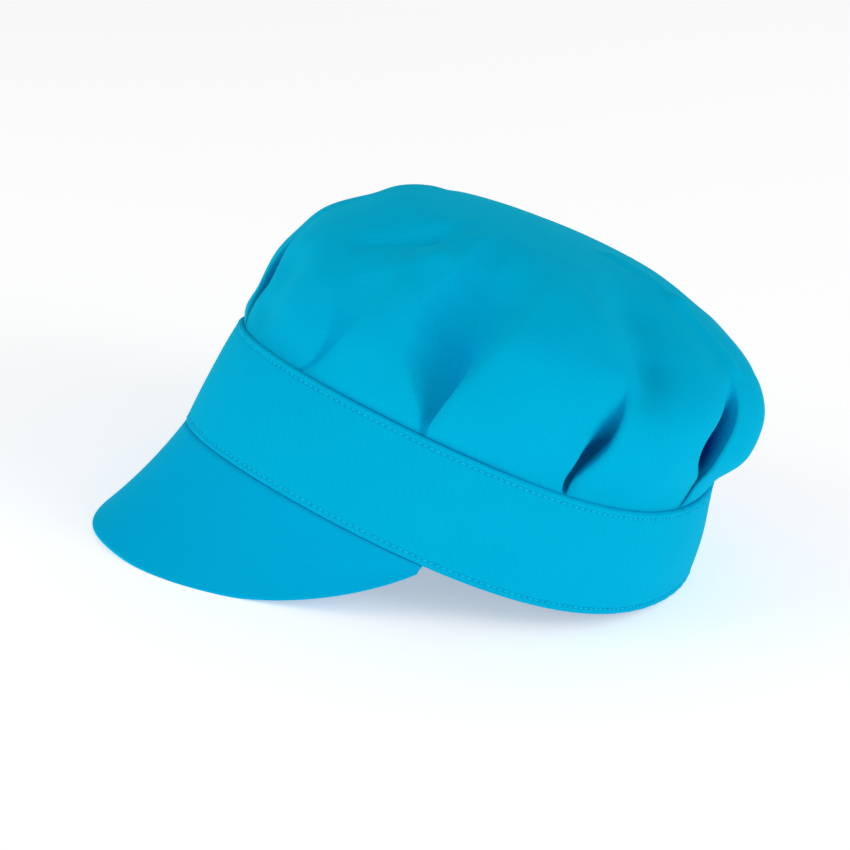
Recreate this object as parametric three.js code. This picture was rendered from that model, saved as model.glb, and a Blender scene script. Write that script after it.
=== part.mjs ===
// A soft peaked kitchen cap in one colour of cotton twill, as it rests on a table.
// Three sewn pieces make it: a stiff straight band, a peak that hangs from the band's
// front edge, and a wide crown whose cloth is taken in by pleats where the band holds it.
// The cap is empty, so it leans back on the rim of its band and on the tip of its peak.
// Millimetres, +Z up, the peak towards -Y. The origin is on the table, under the middle
// of the whole cap. Angles run round the cap from its front, towards +X.

import * as THREE from "three";

// Cloth
const bandWall = 1.8;
const crownWall = 1.2;
const peakWall = 2.8;
const peakRimWall = 1.6;
const sewnGap = 0.4;

// Rim, the lower edge of the band: an oval that lies on the table at the back
const rim = {
  halfLength: 97,
  halfWidth: 87,
  taper: 0.021,
  centreY: 0,
  backHeight: 0,
  frontRise: 37.6,
  riseCurve: 2.4,
  pressed: 0.4,
};

// Seam, the upper edge of the band, where the crown goes in
const seam = {
  halfLength: 88.3,
  halfWidth: 91.3,
  taper: 0.022,
  centreY: 8.5,
  backHeight: 37.1,
  frontRise: 35.2,
  riseCurve: 2,
  pressed: 0,
};
const bandBelly = 1;
const bandHeight = 40;
const seamAllowance = 6;

// Peak: how far round the rim it reaches, its depth, and its slope from seam to tip
const peak = {
  reach: 58.3,
  depth: 46.9,
  roundness: 2.82,
  fullness: 1.2,
  endDepth: 1.2,
  slopeAtSeam: 56.5,
  slopeAtTip: 39.5,
};

// Crown: one row for each level section, from just over the seam to just under the top.
// Each section is an oval, tipped up at the front by its pitch. The saddle drops its sides.
const crownSections = [
  { centreY: 9.5, height: 56.5, pitch: 9.5, halfLength: 86.5, halfWidth: 90.5, saddle: 4.5 },
  { centreY: 17.0, height: 68.0, pitch: 10.5, halfLength: 88.5, halfWidth: 95.0, saddle: 2.5 },
  { centreY: 21.5, height: 79.5, pitch: 11.0, halfLength: 85.5, halfWidth: 95.0, saddle: 1.5 },
  { centreY: 23.0, height: 87.5, pitch: 10.5, halfLength: 81.0, halfWidth: 91.5, saddle: 1.0 },
  { centreY: 24.0, height: 95.0, pitch: 10.5, halfLength: 74.0, halfWidth: 83.5, saddle: 0.5 },
  { centreY: 23.0, height: 103.5, pitch: 10.5, halfLength: 62.0, halfWidth: 70.0, saddle: 0.0 },
  { centreY: 21.0, height: 111.5, pitch: 11.5, halfLength: 47.5, halfWidth: 53.5, saddle: 0.0 },
  { centreY: 18.5, height: 116.0, pitch: 11.5, halfLength: 25.5, halfWidth: 33.0, saddle: 0.0 },
];
const crownTop = new THREE.Vector3(0, 18, 118);

// Pleats: one row for each, in order round the cap. The cloth slopes down into each crease
// over its soft side, and the next panel's fold stands over the crease on its sharp side.
// Drift is how far the crease turns by the time it reaches the top. Sides and turns are in
// degrees round the cap, climbs are shares of the way up to the top, and depths are mm.
const pleats = [
  { angle: -148, drift: -8, soft: 13, sharp: 3.5, depth: 7.5, reach: 0.46 },
  { angle: -114, drift: -9, soft: 12, sharp: 3.5, depth: 8.5, reach: 0.5 },
  { angle: -80, drift: -11, soft: 13, sharp: 3.5, depth: 7.0, reach: 0.44 },
  { angle: -47, drift: -12, soft: 12, sharp: 4.0, depth: 6.5, reach: 0.5 },
  { angle: -17.5, drift: -20, soft: 9, sharp: 3.5, depth: 7.5, reach: 0.46 },
  { angle: 16.5, drift: -5, soft: 13, sharp: 3.0, depth: 3.0, reach: 0.5 },
  { angle: 46.5, drift: -15, soft: 12, sharp: 4.0, depth: 6.0, reach: 0.6 },
  { angle: 78, drift: -3, soft: 8, sharp: 3.0, depth: 8.0, reach: 0.37 },
  { angle: 114, drift: -6, soft: 7, sharp: 5.0, depth: 9.0, reach: 0.46 },
  { angle: 147, drift: -7, soft: 12, sharp: 3.5, depth: 7.0, reach: 0.46 },
  { angle: 180, drift: -7, soft: 12, sharp: 3.5, depth: 7.5, reach: 0.42 },
];
const driftClimb = 0.3;
const sewnDip = 0.8;
const panelBelly = 1.8;
const bellyAt = 0.18;

// Dents, the soft hollows that the cloth has sunk into: each is an oval on the crown
const dents = [
  { angle: 91, climb: 0.42, halfAngle: 9, halfClimb: 0.24, depth: 2.6 },
  { angle: 4, climb: 0.5, halfAngle: 26, halfClimb: 0.09, depth: 1.4 },
  { angle: -60, climb: 0.45, halfAngle: 12, halfClimb: 0.2, depth: 2.0 },
  { angle: -130, climb: 0.48, halfAngle: 10, halfClimb: 0.2, depth: 2.2 },
  { angle: 160, climb: 0.5, halfAngle: 11, halfClimb: 0.2, depth: 1.8 },
];

// How finely the cloth is divided
const bandColumns = 72;
const bandLevels = [0, 0.12, 0.5, 0.88, 1];
const peakColumns = 28;
const peakRows = 5;
const sharpSteps = [0, 0.5, 1, 1.8];
const softSteps = [1.5, 1, 0.66, 0.33];
const plainSteps = 2;
const crownLevels = [0.035, 0.075, 0.12, 0.17, 0.23, 0.3, 0.37, 0.45, 0.54, 0.64, 0.75, 0.87, 0.96];

const cloth = new THREE.MeshStandardMaterial({ color: 0x00abdc, roughness: 0.85, metalness: 0 });
const radians = THREE.MathUtils.degToRad;

// A point on an oval edge of the band. Its height falls from the front to a level back.
function edgePoint(edge, angle) {
  const turn = radians(angle);
  const rise = edge.frontRise * ((1 + Math.cos(turn)) / 2) ** edge.riseCurve;
  return new THREE.Vector3(
    edge.halfWidth * (Math.sin(turn) - edge.taper * Math.sin(3 * turn)),
    edge.centreY - edge.halfLength * (Math.cos(turn) + edge.taper * Math.cos(3 * turn)),
    edge.backHeight + Math.max(0, rise - edge.pressed),
  );
}

// The band's outer face: level 0 is the rim and level 1 is the seam.
function bandFace(angle, level) {
  const low = edgePoint(rim, angle);
  const high = edgePoint(seam, angle);
  const belly = bandBelly * Math.sin(Math.PI * level);
  const out = new THREE.Vector3(Math.sin(radians(angle)), -Math.cos(radians(angle)), 0);
  return low.lerp(high, level).addScaledVector(out, belly);
}

// The direction that points out of a surface given as a function of two numbers.
function outwards(surface, u, v, stepU, stepV) {
  const alongU = surface(u + stepU, v).sub(surface(u - stepU, v));
  const alongV = surface(u, v + stepV).sub(surface(u, v - stepV));
  return alongU.cross(alongV).normalize();
}

function bandInside(angle, level, depth) {
  const inner = bandFace(angle, level);
  return inner.addScaledVector(outwards(bandFace, angle, level, 0.5, 0.02), -depth);
}

// The curve that a crown thread would take from the seam up to the top, before the pleats.
const crownCurves = new Map();
function crownCurve(angle) {
  if (crownCurves.has(angle)) return crownCurves.get(angle);
  const turn = radians(angle);
  const points = [bandInside(angle, 1, bandWall + sewnGap)];
  for (const row of crownSections) {
    const forward = row.halfLength * Math.cos(turn);
    points.push(new THREE.Vector3(
      row.halfWidth * Math.sin(turn),
      row.centreY - forward,
      row.height + forward * Math.tan(radians(row.pitch)) + row.saddle * Math.cos(2 * turn),
    ));
  }
  points.push(crownTop);
  const curve = new THREE.CatmullRomCurve3(points);
  crownCurves.set(angle, curve);
  return curve;
}

function smoothCrown(angle, climb) {
  return crownCurve(angle).getPointAt(THREE.MathUtils.clamp(climb, 0, 1));
}

// How deep a pleat is at a height: barely open where it is sewn, deepest low down.
function pleatDepth(pleat, climb) {
  const share = climb / pleat.reach;
  if (share >= 1) return 0;
  return sewnDip * (1 - share) + pleat.depth * Math.sin(Math.PI * share ** 0.7) ** 1.2;
}

// How wide a pleat is at a height, as a share of its full width: it opens as it climbs.
function pleatWidth(climb) {
  return 0.35 + 0.65 * THREE.MathUtils.smoothstep(climb, 0, 0.16);
}

function dentDepth(angle, climb) {
  return dents.reduce((sum, dent) => {
    const turn = THREE.MathUtils.euclideanModulo(angle - dent.angle + 180, 360) - 180;
    const distance = Math.hypot(turn / dent.halfAngle, (climb - dent.climb) / dent.halfClimb);
    return sum + dent.depth * Math.exp(-2 * distance ** 2);
  }, 0);
}

// A panel of the crown at a height: the creases before and after it, and their angles.
function panelAt(index, climb) {
  const before = pleats[index];
  const after = pleats[(index + 1) % pleats.length];
  const lap = index === pleats.length - 1 ? 360 : 0;
  const turned = 1 - Math.exp(-climb / driftClimb);
  const start = before.angle + before.drift * turned;
  const end = after.angle + lap + after.drift * turned;
  return { before, after, start, end };
}

// The angles of the columns of points across a panel, closest together near its creases.
function panelAngles(panel, climb) {
  const needed = sharpSteps.at(-1) * panel.before.sharp + softSteps[0] * panel.after.soft;
  const wide = Math.min(pleatWidth(climb), (0.85 * (panel.end - panel.start)) / needed);
  const first = sharpSteps.map((step) => panel.start + step * wide * panel.before.sharp);
  const last = softSteps.map((step) => panel.end - step * wide * panel.after.soft);
  const gap = last[0] - first.at(-1);
  const plain = Array.from({ length: plainSteps }, (_, i) =>
    first.at(-1) + (gap * (i + 1)) / (plainSteps + 1));
  return [...first, ...plain, ...last];
}

// How far the cloth stands off the smooth crown at an angle and a height.
function foldOffset(panel, angle, climb) {
  const wide = pleatWidth(climb);
  const sharp = Math.max(0, 1 - (angle - panel.start) / (panel.before.sharp * wide));
  const soft = Math.max(0, 1 - (panel.end - angle) / (panel.after.soft * wide));
  const sinking = pleatDepth(panel.before, climb) * sharp + pleatDepth(panel.after, climb) * soft ** 1.6;
  const rise = climb / bellyAt;
  const across = (angle - panel.start) / (panel.end - panel.start);
  const belly = panelBelly * Math.sin(Math.PI * across) * rise * Math.exp(1 - rise);
  return belly - sinking - dentDepth(angle, climb);
}

// One ring of points round the crown, panel by panel.
function crownRing(climb) {
  return pleats.flatMap((_, index) => {
    const panel = panelAt(index, climb);
    return panelAngles(panel, climb).map((angle) => {
      const out = outwards(smoothCrown, angle, climb, 1, 0.01);
      return smoothCrown(angle, climb).addScaledVector(out, foldOffset(panel, angle, climb));
    });
  });
}

// The same ring moved inwards by the cloth's thickness, square to the folded surface.
function insideRing(rings, index) {
  const ring = rings[index];
  const below = rings[Math.max(0, index - 1)];
  const above = rings[Math.min(rings.length - 1, index + 1)];
  return ring.map((point, i) => {
    const next = ring[(i + 1) % ring.length];
    const previous = ring[(i + ring.length - 1) % ring.length];
    const across = next.clone().sub(previous);
    const up = above[i].clone().sub(below[i]);
    return point.clone().addScaledVector(across.cross(up).normalize(), -crownWall);
  });
}

// A closed mesh through a list of loops with equal numbers of points. The last loop joins
// the first, or each end is closed by a fan of triangles round its middle.
function loft(loops, joined) {
  const size = loops[0].length;
  const points = loops.flat();
  const faces = [];
  const spans = joined ? loops.length : loops.length - 1;
  for (let row = 0; row < spans; row += 1) {
    for (let i = 0; i < size; i += 1) {
      const a = row * size + i;
      const b = row * size + ((i + 1) % size);
      const c = ((row + 1) % loops.length) * size + i;
      const d = ((row + 1) % loops.length) * size + ((i + 1) % size);
      faces.push(a, b, d, a, d, c);
    }
  }
  if (!joined) {
    for (const [loop, start, turned] of [[loops[0], 0, true], [loops.at(-1), points.length - size, false]]) {
      const middle = loop.reduce((sum, p) => sum.add(p), new THREE.Vector3()).divideScalar(size);
      const centre = points.push(middle) - 1;
      for (let i = 0; i < size; i += 1) {
        const pair = [start + i, start + ((i + 1) % size)];
        faces.push(...(turned ? pair.reverse() : pair), centre);
      }
    }
  }
  return facingOut(points, faces);
}

// Turns the faces round if they enclose a negative volume, so that they point outwards.
function facingOut(points, faces) {
  let volume = 0;
  for (let i = 0; i < faces.length; i += 3) {
    const [a, b, c] = [0, 1, 2].map((k) => points[faces[i + k]]);
    volume += a.dot(b.clone().cross(c));
  }
  const geometry = new THREE.BufferGeometry().setFromPoints(points);
  geometry.setIndex(volume < 0 ? faces.reverse() : faces);
  geometry.computeVertexNormals();
  return geometry;
}

function ringOf(count, pointAt) {
  return Array.from({ length: count }, (_, i) => pointAt((360 * i) / count));
}

function makeBand() {
  const outer = bandLevels.map((level) => ringOf(bandColumns, (angle) => bandFace(angle, level)));
  const inner = bandLevels.map((level) =>
    ringOf(bandColumns, (angle) => {
      const point = bandInside(angle, level, bandWall);
      if (level === 0) point.z = edgePoint(rim, angle).z;
      return point;
    }),
  );
  return loft([...outer, ...inner.reverse()], true);
}

// The crown's own edge goes a little way down inside the band, between it and the head.
function makeCrown() {
  const outer = [0, ...crownLevels].map((climb) => crownRing(climb));
  const inner = outer.map((_, index) => insideRing(outer, index));
  const angles = pleats.flatMap((_, index) => panelAngles(panelAt(index, 0), 0));
  const edgeLevel = 1 - seamAllowance / bandHeight;
  const edgeRing = (depth) => angles.map((angle) => bandInside(angle, edgeLevel, depth));
  outer.unshift(edgeRing(bandWall + sewnGap));
  inner.unshift(edgeRing(bandWall + sewnGap + crownWall));
  return loft([...inner.reverse(), ...outer], false);
}

// A point on the top of the peak. Across runs from -1 to 1 and along from the seam to the tip.
function peakFace(across, along) {
  const point = edgePoint(rim, across * peak.reach);
  const span = Math.max(0, 1 - Math.abs(across) ** peak.roundness) ** (1 / peak.fullness);
  const depth = peak.endDepth + peak.depth * span;
  const steps = 12;
  const step = (along * depth) / steps;
  for (let i = 0; i < steps; i += 1) {
    const slope = radians(THREE.MathUtils.lerp(peak.slopeAtSeam, peak.slopeAtTip, (along * (i + 0.5)) / steps));
    point.y -= step * Math.cos(slope);
    point.z -= step * Math.sin(slope);
  }
  return point;
}

function makePeak() {
  const sections = [];
  for (let i = 0; i <= peakColumns; i += 1) {
    const across = -Math.cos((Math.PI * i) / peakColumns) * 0.995;
    const top = [];
    const under = [];
    for (let k = 0; k <= peakRows; k += 1) {
      const along = k / peakRows;
      const out = outwards(peakFace, across, along, 0.004, 0.02).negate();
      const middle = 1 - Math.abs(across) ** 6;
      const wall = THREE.MathUtils.lerp(peakRimWall, peakWall, middle * (1 - along ** 5));
      const point = peakFace(across, along);
      point.z -= sewnGap;
      top.push(point);
      under.push(point.clone().addScaledVector(out, -wall));
    }
    sections.push([...top, ...under.reverse()].map((p) => p.setZ(Math.max(0, p.z))));
  }
  return loft(sections, false);
}

const cap = new THREE.Group();
for (const [name, make] of [["band", makeBand], ["peak", makePeak], ["crown", makeCrown]]) {
  const piece = new THREE.Mesh(make(), cloth.clone());
  piece.name = name;
  cap.add(piece);
}
const room = new THREE.Box3().setFromObject(cap);
const middle = room.getCenter(new THREE.Vector3());
cap.position.set(-middle.x, -middle.y, -room.min.z);

export default cap;
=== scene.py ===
# %% [markdown]
# # A peaked kitchen cap in blue twill
# The cap is three sewn pieces: a straight band round the head, a stiff peak under its front
# edge and a wide crown that is taken in by pleats where the band holds it. The cap is empty,
# so it leans back and rests on the rim of its band and on the tip of its peak. The packed
# model is loaded first, because every piece here takes its place from it.

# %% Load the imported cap
import math

import bmesh
import bpy
import numpy as np
from mathutils import Matrix, Vector


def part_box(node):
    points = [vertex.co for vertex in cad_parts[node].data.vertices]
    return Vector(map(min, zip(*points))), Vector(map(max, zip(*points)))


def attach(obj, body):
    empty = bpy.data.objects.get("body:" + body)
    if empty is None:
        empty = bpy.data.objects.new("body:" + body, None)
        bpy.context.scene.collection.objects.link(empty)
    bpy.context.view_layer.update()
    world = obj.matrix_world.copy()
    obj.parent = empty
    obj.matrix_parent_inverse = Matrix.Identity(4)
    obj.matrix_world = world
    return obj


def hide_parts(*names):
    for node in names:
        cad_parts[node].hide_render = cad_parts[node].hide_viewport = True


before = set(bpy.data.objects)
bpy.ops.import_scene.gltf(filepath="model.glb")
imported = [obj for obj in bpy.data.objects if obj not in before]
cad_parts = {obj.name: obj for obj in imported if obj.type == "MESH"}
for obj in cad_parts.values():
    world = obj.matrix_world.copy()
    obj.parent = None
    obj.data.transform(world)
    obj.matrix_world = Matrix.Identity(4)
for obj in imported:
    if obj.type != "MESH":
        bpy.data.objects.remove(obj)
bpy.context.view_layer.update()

# %% [markdown]
# ## The cut of the cap
# A pattern maker would write the cap down as a few lines: the oval of the rim, the oval of
# the seam above it, the outline of the peak, and the crown's sections one over another.
# All sizes are in millimetres, and angles run round the cap from its front towards the
# wearer's left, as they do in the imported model. One millimetre is 0.001 of Blender's metre.

# %% Measures
MM = 0.001
BAND_WALL = 1.8
CROWN_WALL = 1.0
PEAK_WALL = 2.8
SEWN_GAP = 0.4

RIM = dict(half_length=97, half_width=87, taper=0.021, centre_y=0, back_height=0, front_rise=37.6,
           rise_curve=2.4, pressed=0.4)
SEAM = dict(half_length=88.3, half_width=91.3, taper=0.022, centre_y=8.5, back_height=37.1,
            front_rise=35.2, rise_curve=2.0, pressed=0)
BAND_HEIGHT = 40
BAND_BELLY = 1.0
SEAM_ALLOWANCE = 6


def outward(angle):
    """The level direction out of the cap at an angle in degrees."""
    turn = np.radians(angle)
    return np.stack([np.sin(turn), -np.cos(turn), 0 * turn], -1)


def edge_point(edge, angle):
    """A point on the band's rim or seam, both ovals that rise towards the front."""
    turn = np.radians(angle)
    rise = edge["front_rise"] * ((1 + np.cos(turn)) / 2) ** edge["rise_curve"]
    return np.stack([
        edge["half_width"] * (np.sin(turn) - edge["taper"] * np.sin(3 * turn)),
        edge["centre_y"] - edge["half_length"] * (np.cos(turn) + edge["taper"] * np.cos(3 * turn)),
        edge["back_height"] + np.maximum(0, rise - edge["pressed"]),
    ], -1)


def band_face(angle, level):
    """The band's outer face: level 0 is the rim and level 1 is the seam."""
    low, high = edge_point(RIM, angle), edge_point(SEAM, angle)
    level = np.asarray(level, float)[..., None] * np.ones(low.shape[:-1] + (1,))
    return low + (high - low) * level + BAND_BELLY * np.sin(np.pi * level) * outward(angle)


def unit(vectors):
    """The same directions, each one long."""
    return vectors / np.maximum(np.linalg.norm(vectors, axis=-1, keepdims=True), 1e-9)


def square_to(surface, u, v, step_u, step_v):
    """The direction out of a surface that is a function of two numbers."""
    along_u = surface(u + step_u, v) - surface(u - step_u, v)
    along_v = surface(u, v + step_v) - surface(u, v - step_v)
    return unit(np.cross(along_u, along_v))


def band_normal(angle, level):
    """The direction out of the band's face."""
    return square_to(band_face, angle, level, 0.5, 0.02)


measured_angles = np.linspace(0, 360, 721)
rim_line = edge_point(RIM, measured_angles)
rim_length = np.linalg.norm(np.diff(rim_line, axis=0), axis=1).sum()
faces = np.concatenate([band_face(measured_angles, level) for level in np.linspace(0, 1, 21)])
packed_low, packed_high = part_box("band")
shift = np.array([
    (packed_low.x + packed_high.x) / 2 / MM - (faces[:, 0].min() + faces[:, 0].max()) / 2,
    packed_high.y / MM - faces[:, 1].max(),
    0,
])
print(f"rim {rim_length:.0f} mm round; the pattern moves by {np.round(shift, 2)} mm onto the packed cap")

# %% [markdown]
# ## A mesh from rows of points
# Every piece here is a grid of points that a formula gives, so one helper turns such a grid
# into a mesh. It also writes a UV map in metres of cloth, so that a weave drawn on that map
# has its true size and follows the cloth round each fold.

# %% Grid to mesh
CLOTH_MAP = "Cloth"
# The name of the point attribute that holds each crown point's painted fold shade, from 0 to 1
PAINTED_SHADE_ATTRIBUTE = "painted_fold_shade"


def piece_from_grid(name, points, cloth, material, join_rows=False, cap=None, depth=None):
    """Makes a mesh from points (rows, columns) whose columns go round and meet. cloth holds
    each point's place on the flat cloth, with one more column than points. depth is the
    painted shade of each point, from 0 to 1, that darkens its colour in the folds."""
    rows, columns = points.shape[:2]
    vertices = (points.reshape(-1, 3) + shift) * MM
    r, c = np.meshgrid(np.arange(rows if join_rows else rows - 1), np.arange(columns), indexing="ij")
    corners = [(r, c), (r, c + 1), (r + 1, c + 1), (r + 1, c)]
    quads = np.stack([(a % rows) * columns + b % columns for a, b in corners], -1).reshape(-1, 4)
    flat = np.stack([cloth[a % rows, b] for a, b in corners], -2).reshape(-1, 2)
    faces, flat = quads.tolist(), flat.tolist()
    vertices = vertices.tolist()
    if cap == "top":
        middle = len(vertices)
        vertices.append(((points[-1].mean(0) + shift) * MM).tolist())
        last = (rows - 1) * columns
        for i in range(columns):
            faces.append([last + i, last + (i + 1) % columns, middle])
            flat += [cloth[-1, i], cloth[-1, i + 1], (cloth[-1, :-1].mean(0))]
    if cap == "ends":
        for row, turned in ((0, True), (rows - 1, False)):
            ring = [row * columns + i for i in range(columns)]
            faces.append(ring[::-1] if turned else ring)
            flat += [cloth[row, i] for i in (range(columns)[::-1] if turned else range(columns))]
    mesh = bpy.data.meshes.new(name)
    mesh.from_pydata(vertices, [], faces)
    layer = mesh.uv_layers.new(name=CLOTH_MAP)
    layer.data.foreach_set("uv", np.array(flat, np.float32).reshape(-1) * MM)
    if depth is not None:
        depths = np.append(depth.ravel(), np.zeros(len(vertices) - depth.size)).astype(np.float32)
        mesh.attributes.new(PAINTED_SHADE_ATTRIBUTE, "FLOAT", "POINT").data.foreach_set("value", depths)
    mesh.shade_smooth()
    mesh.materials.append(material)
    piece = bpy.data.objects.new(name, mesh)
    bpy.context.scene.collection.objects.link(piece)
    return piece


def turn_faces_out(piece):
    """Turns every face round if the closed mesh encloses a negative volume."""
    mesh = bmesh.new()
    mesh.from_mesh(piece.data)
    volume = mesh.calc_volume(signed=True)
    if volume < 0:
        bmesh.ops.reverse_faces(mesh, faces=mesh.faces)
        mesh.to_mesh(piece.data)
    mesh.free()
    return abs(volume)


# %% [markdown]
# ## Twill
# The cloth is a cotton and polyester twill in one clear blue, matt, with a soft bloom at its
# edges, where the fibres catch the light from behind. A photograph of cloth could be laid on
# it, but two wave textures on the cloth map need no picture: they draw slanting ribs and
# cross threads, noise makes them uneven, and the shader's sheen gives the bloom. The ribs of
# a real twill are mostly under a millimetre apart. Here they are 2.4 mm apart, and faint.
#
# The tucks look a deeper blue than the open cloth, because the light in them has gone from
# wall to wall. That shade is painted into the colour: each point of the crown carries a painted
# shade that grows with how deep in a fold it lies, and the cloth's colour moves towards a deep
# blue with it.

# %% Helpers for nodes
# Painted shade: the deep blue that the crown's colour is mixed towards deep in its folds
PAINTED_SHADE_BLUE = (0.0, 0.04, 0.34)
LIGHT_BLUE = (0.0, 0.47, 0.735)
DARK_BLUE = (0.0, 0.40, 0.665)
PEAK_LIGHT = (0.0, 0.44, 0.74)
PEAK_DARK = (0.0, 0.38, 0.67)
THREAD_LIGHT = (0.02, 0.60, 0.86)
THREAD_DARK = (0.0, 0.52, 0.79)
WAVE_SCALE = 0.1
UNEVEN_SCALE, CLOUDY_SCALE = 900, 38
RIB_SHARE, UNEVEN_SHARE, CLOUDY_SHARE = 0.3, 0.35, 0.45


def link(tree, source, output, target, socket):
    """Joins one node's output to another node's input."""
    tree.links.new(source.outputs[output], target.inputs[socket])


def maths(tree, operation, factor=None):
    """A maths node, with its second number set if factor is given."""
    node = tree.nodes.new("ShaderNodeMath")
    node.operation = operation
    if factor is not None:
        node.inputs[1].default_value = factor
    return node


def noise(tree, place, scale, detail):
    """A noise texture on the cloth map."""
    node = tree.nodes.new("ShaderNodeTexNoise")
    node.inputs["Scale"].default_value = scale
    node.inputs["Detail"].default_value = detail
    link(tree, place, "UV", node, "Vector")
    return node


def waves(tree, place, direction, width):
    """A wave texture on the cloth map: slanting waves lie 4.4 widths apart, level ones 3.1."""
    node = tree.nodes.new("ShaderNodeTexWave")
    node.wave_type = "BANDS"
    node.bands_direction = direction
    node.inputs["Scale"].default_value = WAVE_SCALE / (width * MM)
    node.inputs["Distortion"].default_value = 0.6
    node.inputs["Detail"].default_value = 1.0
    link(tree, place, "UV", node, "Vector")
    return node


print("the tuck's deepest blue is", PAINTED_SHADE_BLUE)

# %% Twill material
def twill(name, light, dark, sheen, rib=0.55, bump=0.00006):
    """A woven cloth: light and dark are its two tones, and rib sets the size of its weave."""
    material = bpy.data.materials.new(name)
    material.use_nodes = True
    tree = material.node_tree
    tree.nodes.clear()
    output = tree.nodes.new("ShaderNodeOutputMaterial")
    shader = tree.nodes.new("ShaderNodeBsdfPrincipled")
    place = tree.nodes.new("ShaderNodeUVMap")
    place.uv_map = CLOTH_MAP
    ribs = waves(tree, place, "DIAGONAL", rib)
    threads = waves(tree, place, "Y", rib * 0.7)
    uneven = noise(tree, place, UNEVEN_SCALE, 3)
    cloudy = noise(tree, place, CLOUDY_SCALE, 4)

    weave, fade = maths(tree, "MULTIPLY"), maths(tree, "MULTIPLY", RIB_SHARE)
    fine = maths(tree, "MULTIPLY_ADD", UNEVEN_SHARE)
    tone = maths(tree, "MULTIPLY_ADD", CLOUDY_SHARE)
    link(tree, ribs, "Fac", weave, 0)
    link(tree, threads, "Fac", weave, 1)
    link(tree, weave, 0, fade, 0)
    link(tree, uneven, "Fac", fine, 0)
    link(tree, fade, 0, fine, 2)
    link(tree, cloudy, "Fac", tone, 0)
    link(tree, fine, 0, tone, 2)

    colour, shaded = tree.nodes.new("ShaderNodeMix"), tree.nodes.new("ShaderNodeMix")
    colour.data_type = shaded.data_type = "RGBA"
    colour.inputs["A"].default_value = (*dark, 1)
    colour.inputs["B"].default_value = (*light, 1)
    # Painted shade: the fold attribute mixes the cloth's colour towards a deep blue in the folds
    shaded.inputs["B"].default_value = (*PAINTED_SHADE_BLUE, 1)
    depth = tree.nodes.new("ShaderNodeAttribute")
    depth.attribute_name = PAINTED_SHADE_ATTRIBUTE
    link(tree, tone, 0, colour, "Factor")
    link(tree, depth, "Fac", shaded, "Factor")
    link(tree, colour, "Result", shaded, "A")
    link(tree, shaded, "Result", shader, "Base Color")

    relief = tree.nodes.new("ShaderNodeBump")
    relief.inputs["Strength"].default_value = 0.5
    relief.inputs["Distance"].default_value = bump
    link(tree, fine, 0, relief, "Height")
    link(tree, relief, "Normal", shader, "Normal")
    rough = tree.nodes.new("ShaderNodeMapRange")
    rough.inputs["To Min"].default_value = 0.78
    rough.inputs["To Max"].default_value = 0.92
    link(tree, uneven, "Fac", rough, "Value")
    link(tree, rough, "Result", shader, "Roughness")
    shader.inputs["Specular IOR Level"].default_value = 0.02
    shader.inputs["Specular Tint"].default_value = (0.05, 0.85, 1.0, 1)
    shader.inputs["Sheen Weight"].default_value = sheen
    shader.inputs["Sheen Roughness"].default_value = 0.45
    shader.inputs["Sheen Tint"].default_value = (0.0, 0.85, 1.0, 1)
    link(tree, shader, "BSDF", output, "Surface")
    return material


crown_twill = twill("crown_twill", LIGHT_BLUE, DARK_BLUE, 0.25)
band_twill = twill("band_twill", LIGHT_BLUE, DARK_BLUE, 0.2)
peak_twill = twill("peak_twill", PEAK_LIGHT, PEAK_DARK, 0.2)
thread = twill("sewing_thread", THREAD_LIGHT, THREAD_DARK, 0.35, rib=0.25, bump=0.00003)
print("materials:", [m.name for m in (crown_twill, band_twill, peak_twill, thread)])

# %% [markdown]
# ## The band
# The band is a strip of doubled cloth, folded over at its top and bottom and stitched along
# both folds. A ring swept round the head gives it: the section is a thin loop with rounded
# folds, which goes in by a hair at each row of stitches, where the thread pulls the cloth
# down, and swells between the stitches and the fold. Along the rows the cloth puckers.

# %% Band section
BAND_COLUMNS = 1760
FOLD_RADIUS = 0.9
STITCH_INSET = 2.4
STITCH_PITCH = 2.3
STITCH_ROWS = (STITCH_INSET, BAND_HEIGHT - STITCH_INSET)
GROOVE_DEPTH, GROOVE_WIDTH = 0.18, 0.55
HOLE_DEPTH, HOLE_WIDTH = 0.32, 0.36
HEM_SWELL, HEM_WIDTH = 0.14, 0.8
LIP_SWELL, LIP_WIDTH, LIP_PLACE = 0.10, 0.45, 0.62
PUCKER_HEIGHT, PUCKER_WIDTH, PUCKER_WAVE = 0.12, 5.0, 8.5
FACE_SWELLS = [
    # height in mm, waves round the band, mm of height in a radian, start
    (0.24, 3, 17.0, 0.0),
    (0.12, 11, -6.0, 0.8),
]


def along_face(height, angle):
    """How far along a row of stitches each angle is, in millimetres, and the row's length."""
    ring = np.append(angle, 360.0)
    line = band_face(ring, np.full_like(ring, height / BAND_HEIGHT))
    run = np.append(0, np.cumsum(np.linalg.norm(np.diff(line, axis=0), axis=1)))
    return run[:-1], run[-1]


def stitch_count(height, angle):
    """How many whole stitches go round the row at this height."""
    return round(along_face(height, angle)[1] / STITCH_PITCH)


def bump_at(distance, width):
    """A rounded bump, 1 high at no distance."""
    return np.exp(-(distance / width) ** 2)


def pucker(place, wave, seed):
    """A row of small puckers that comes and goes: place and wave are in millimetres."""
    slow = np.sin(place / 23.0 + seed) + np.sin(place / 57.0 + 2.1 * seed)
    return np.sin(2 * np.pi * place / wave + 1.3 * slow) * (0.6 + 0.2 * slow)


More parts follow.
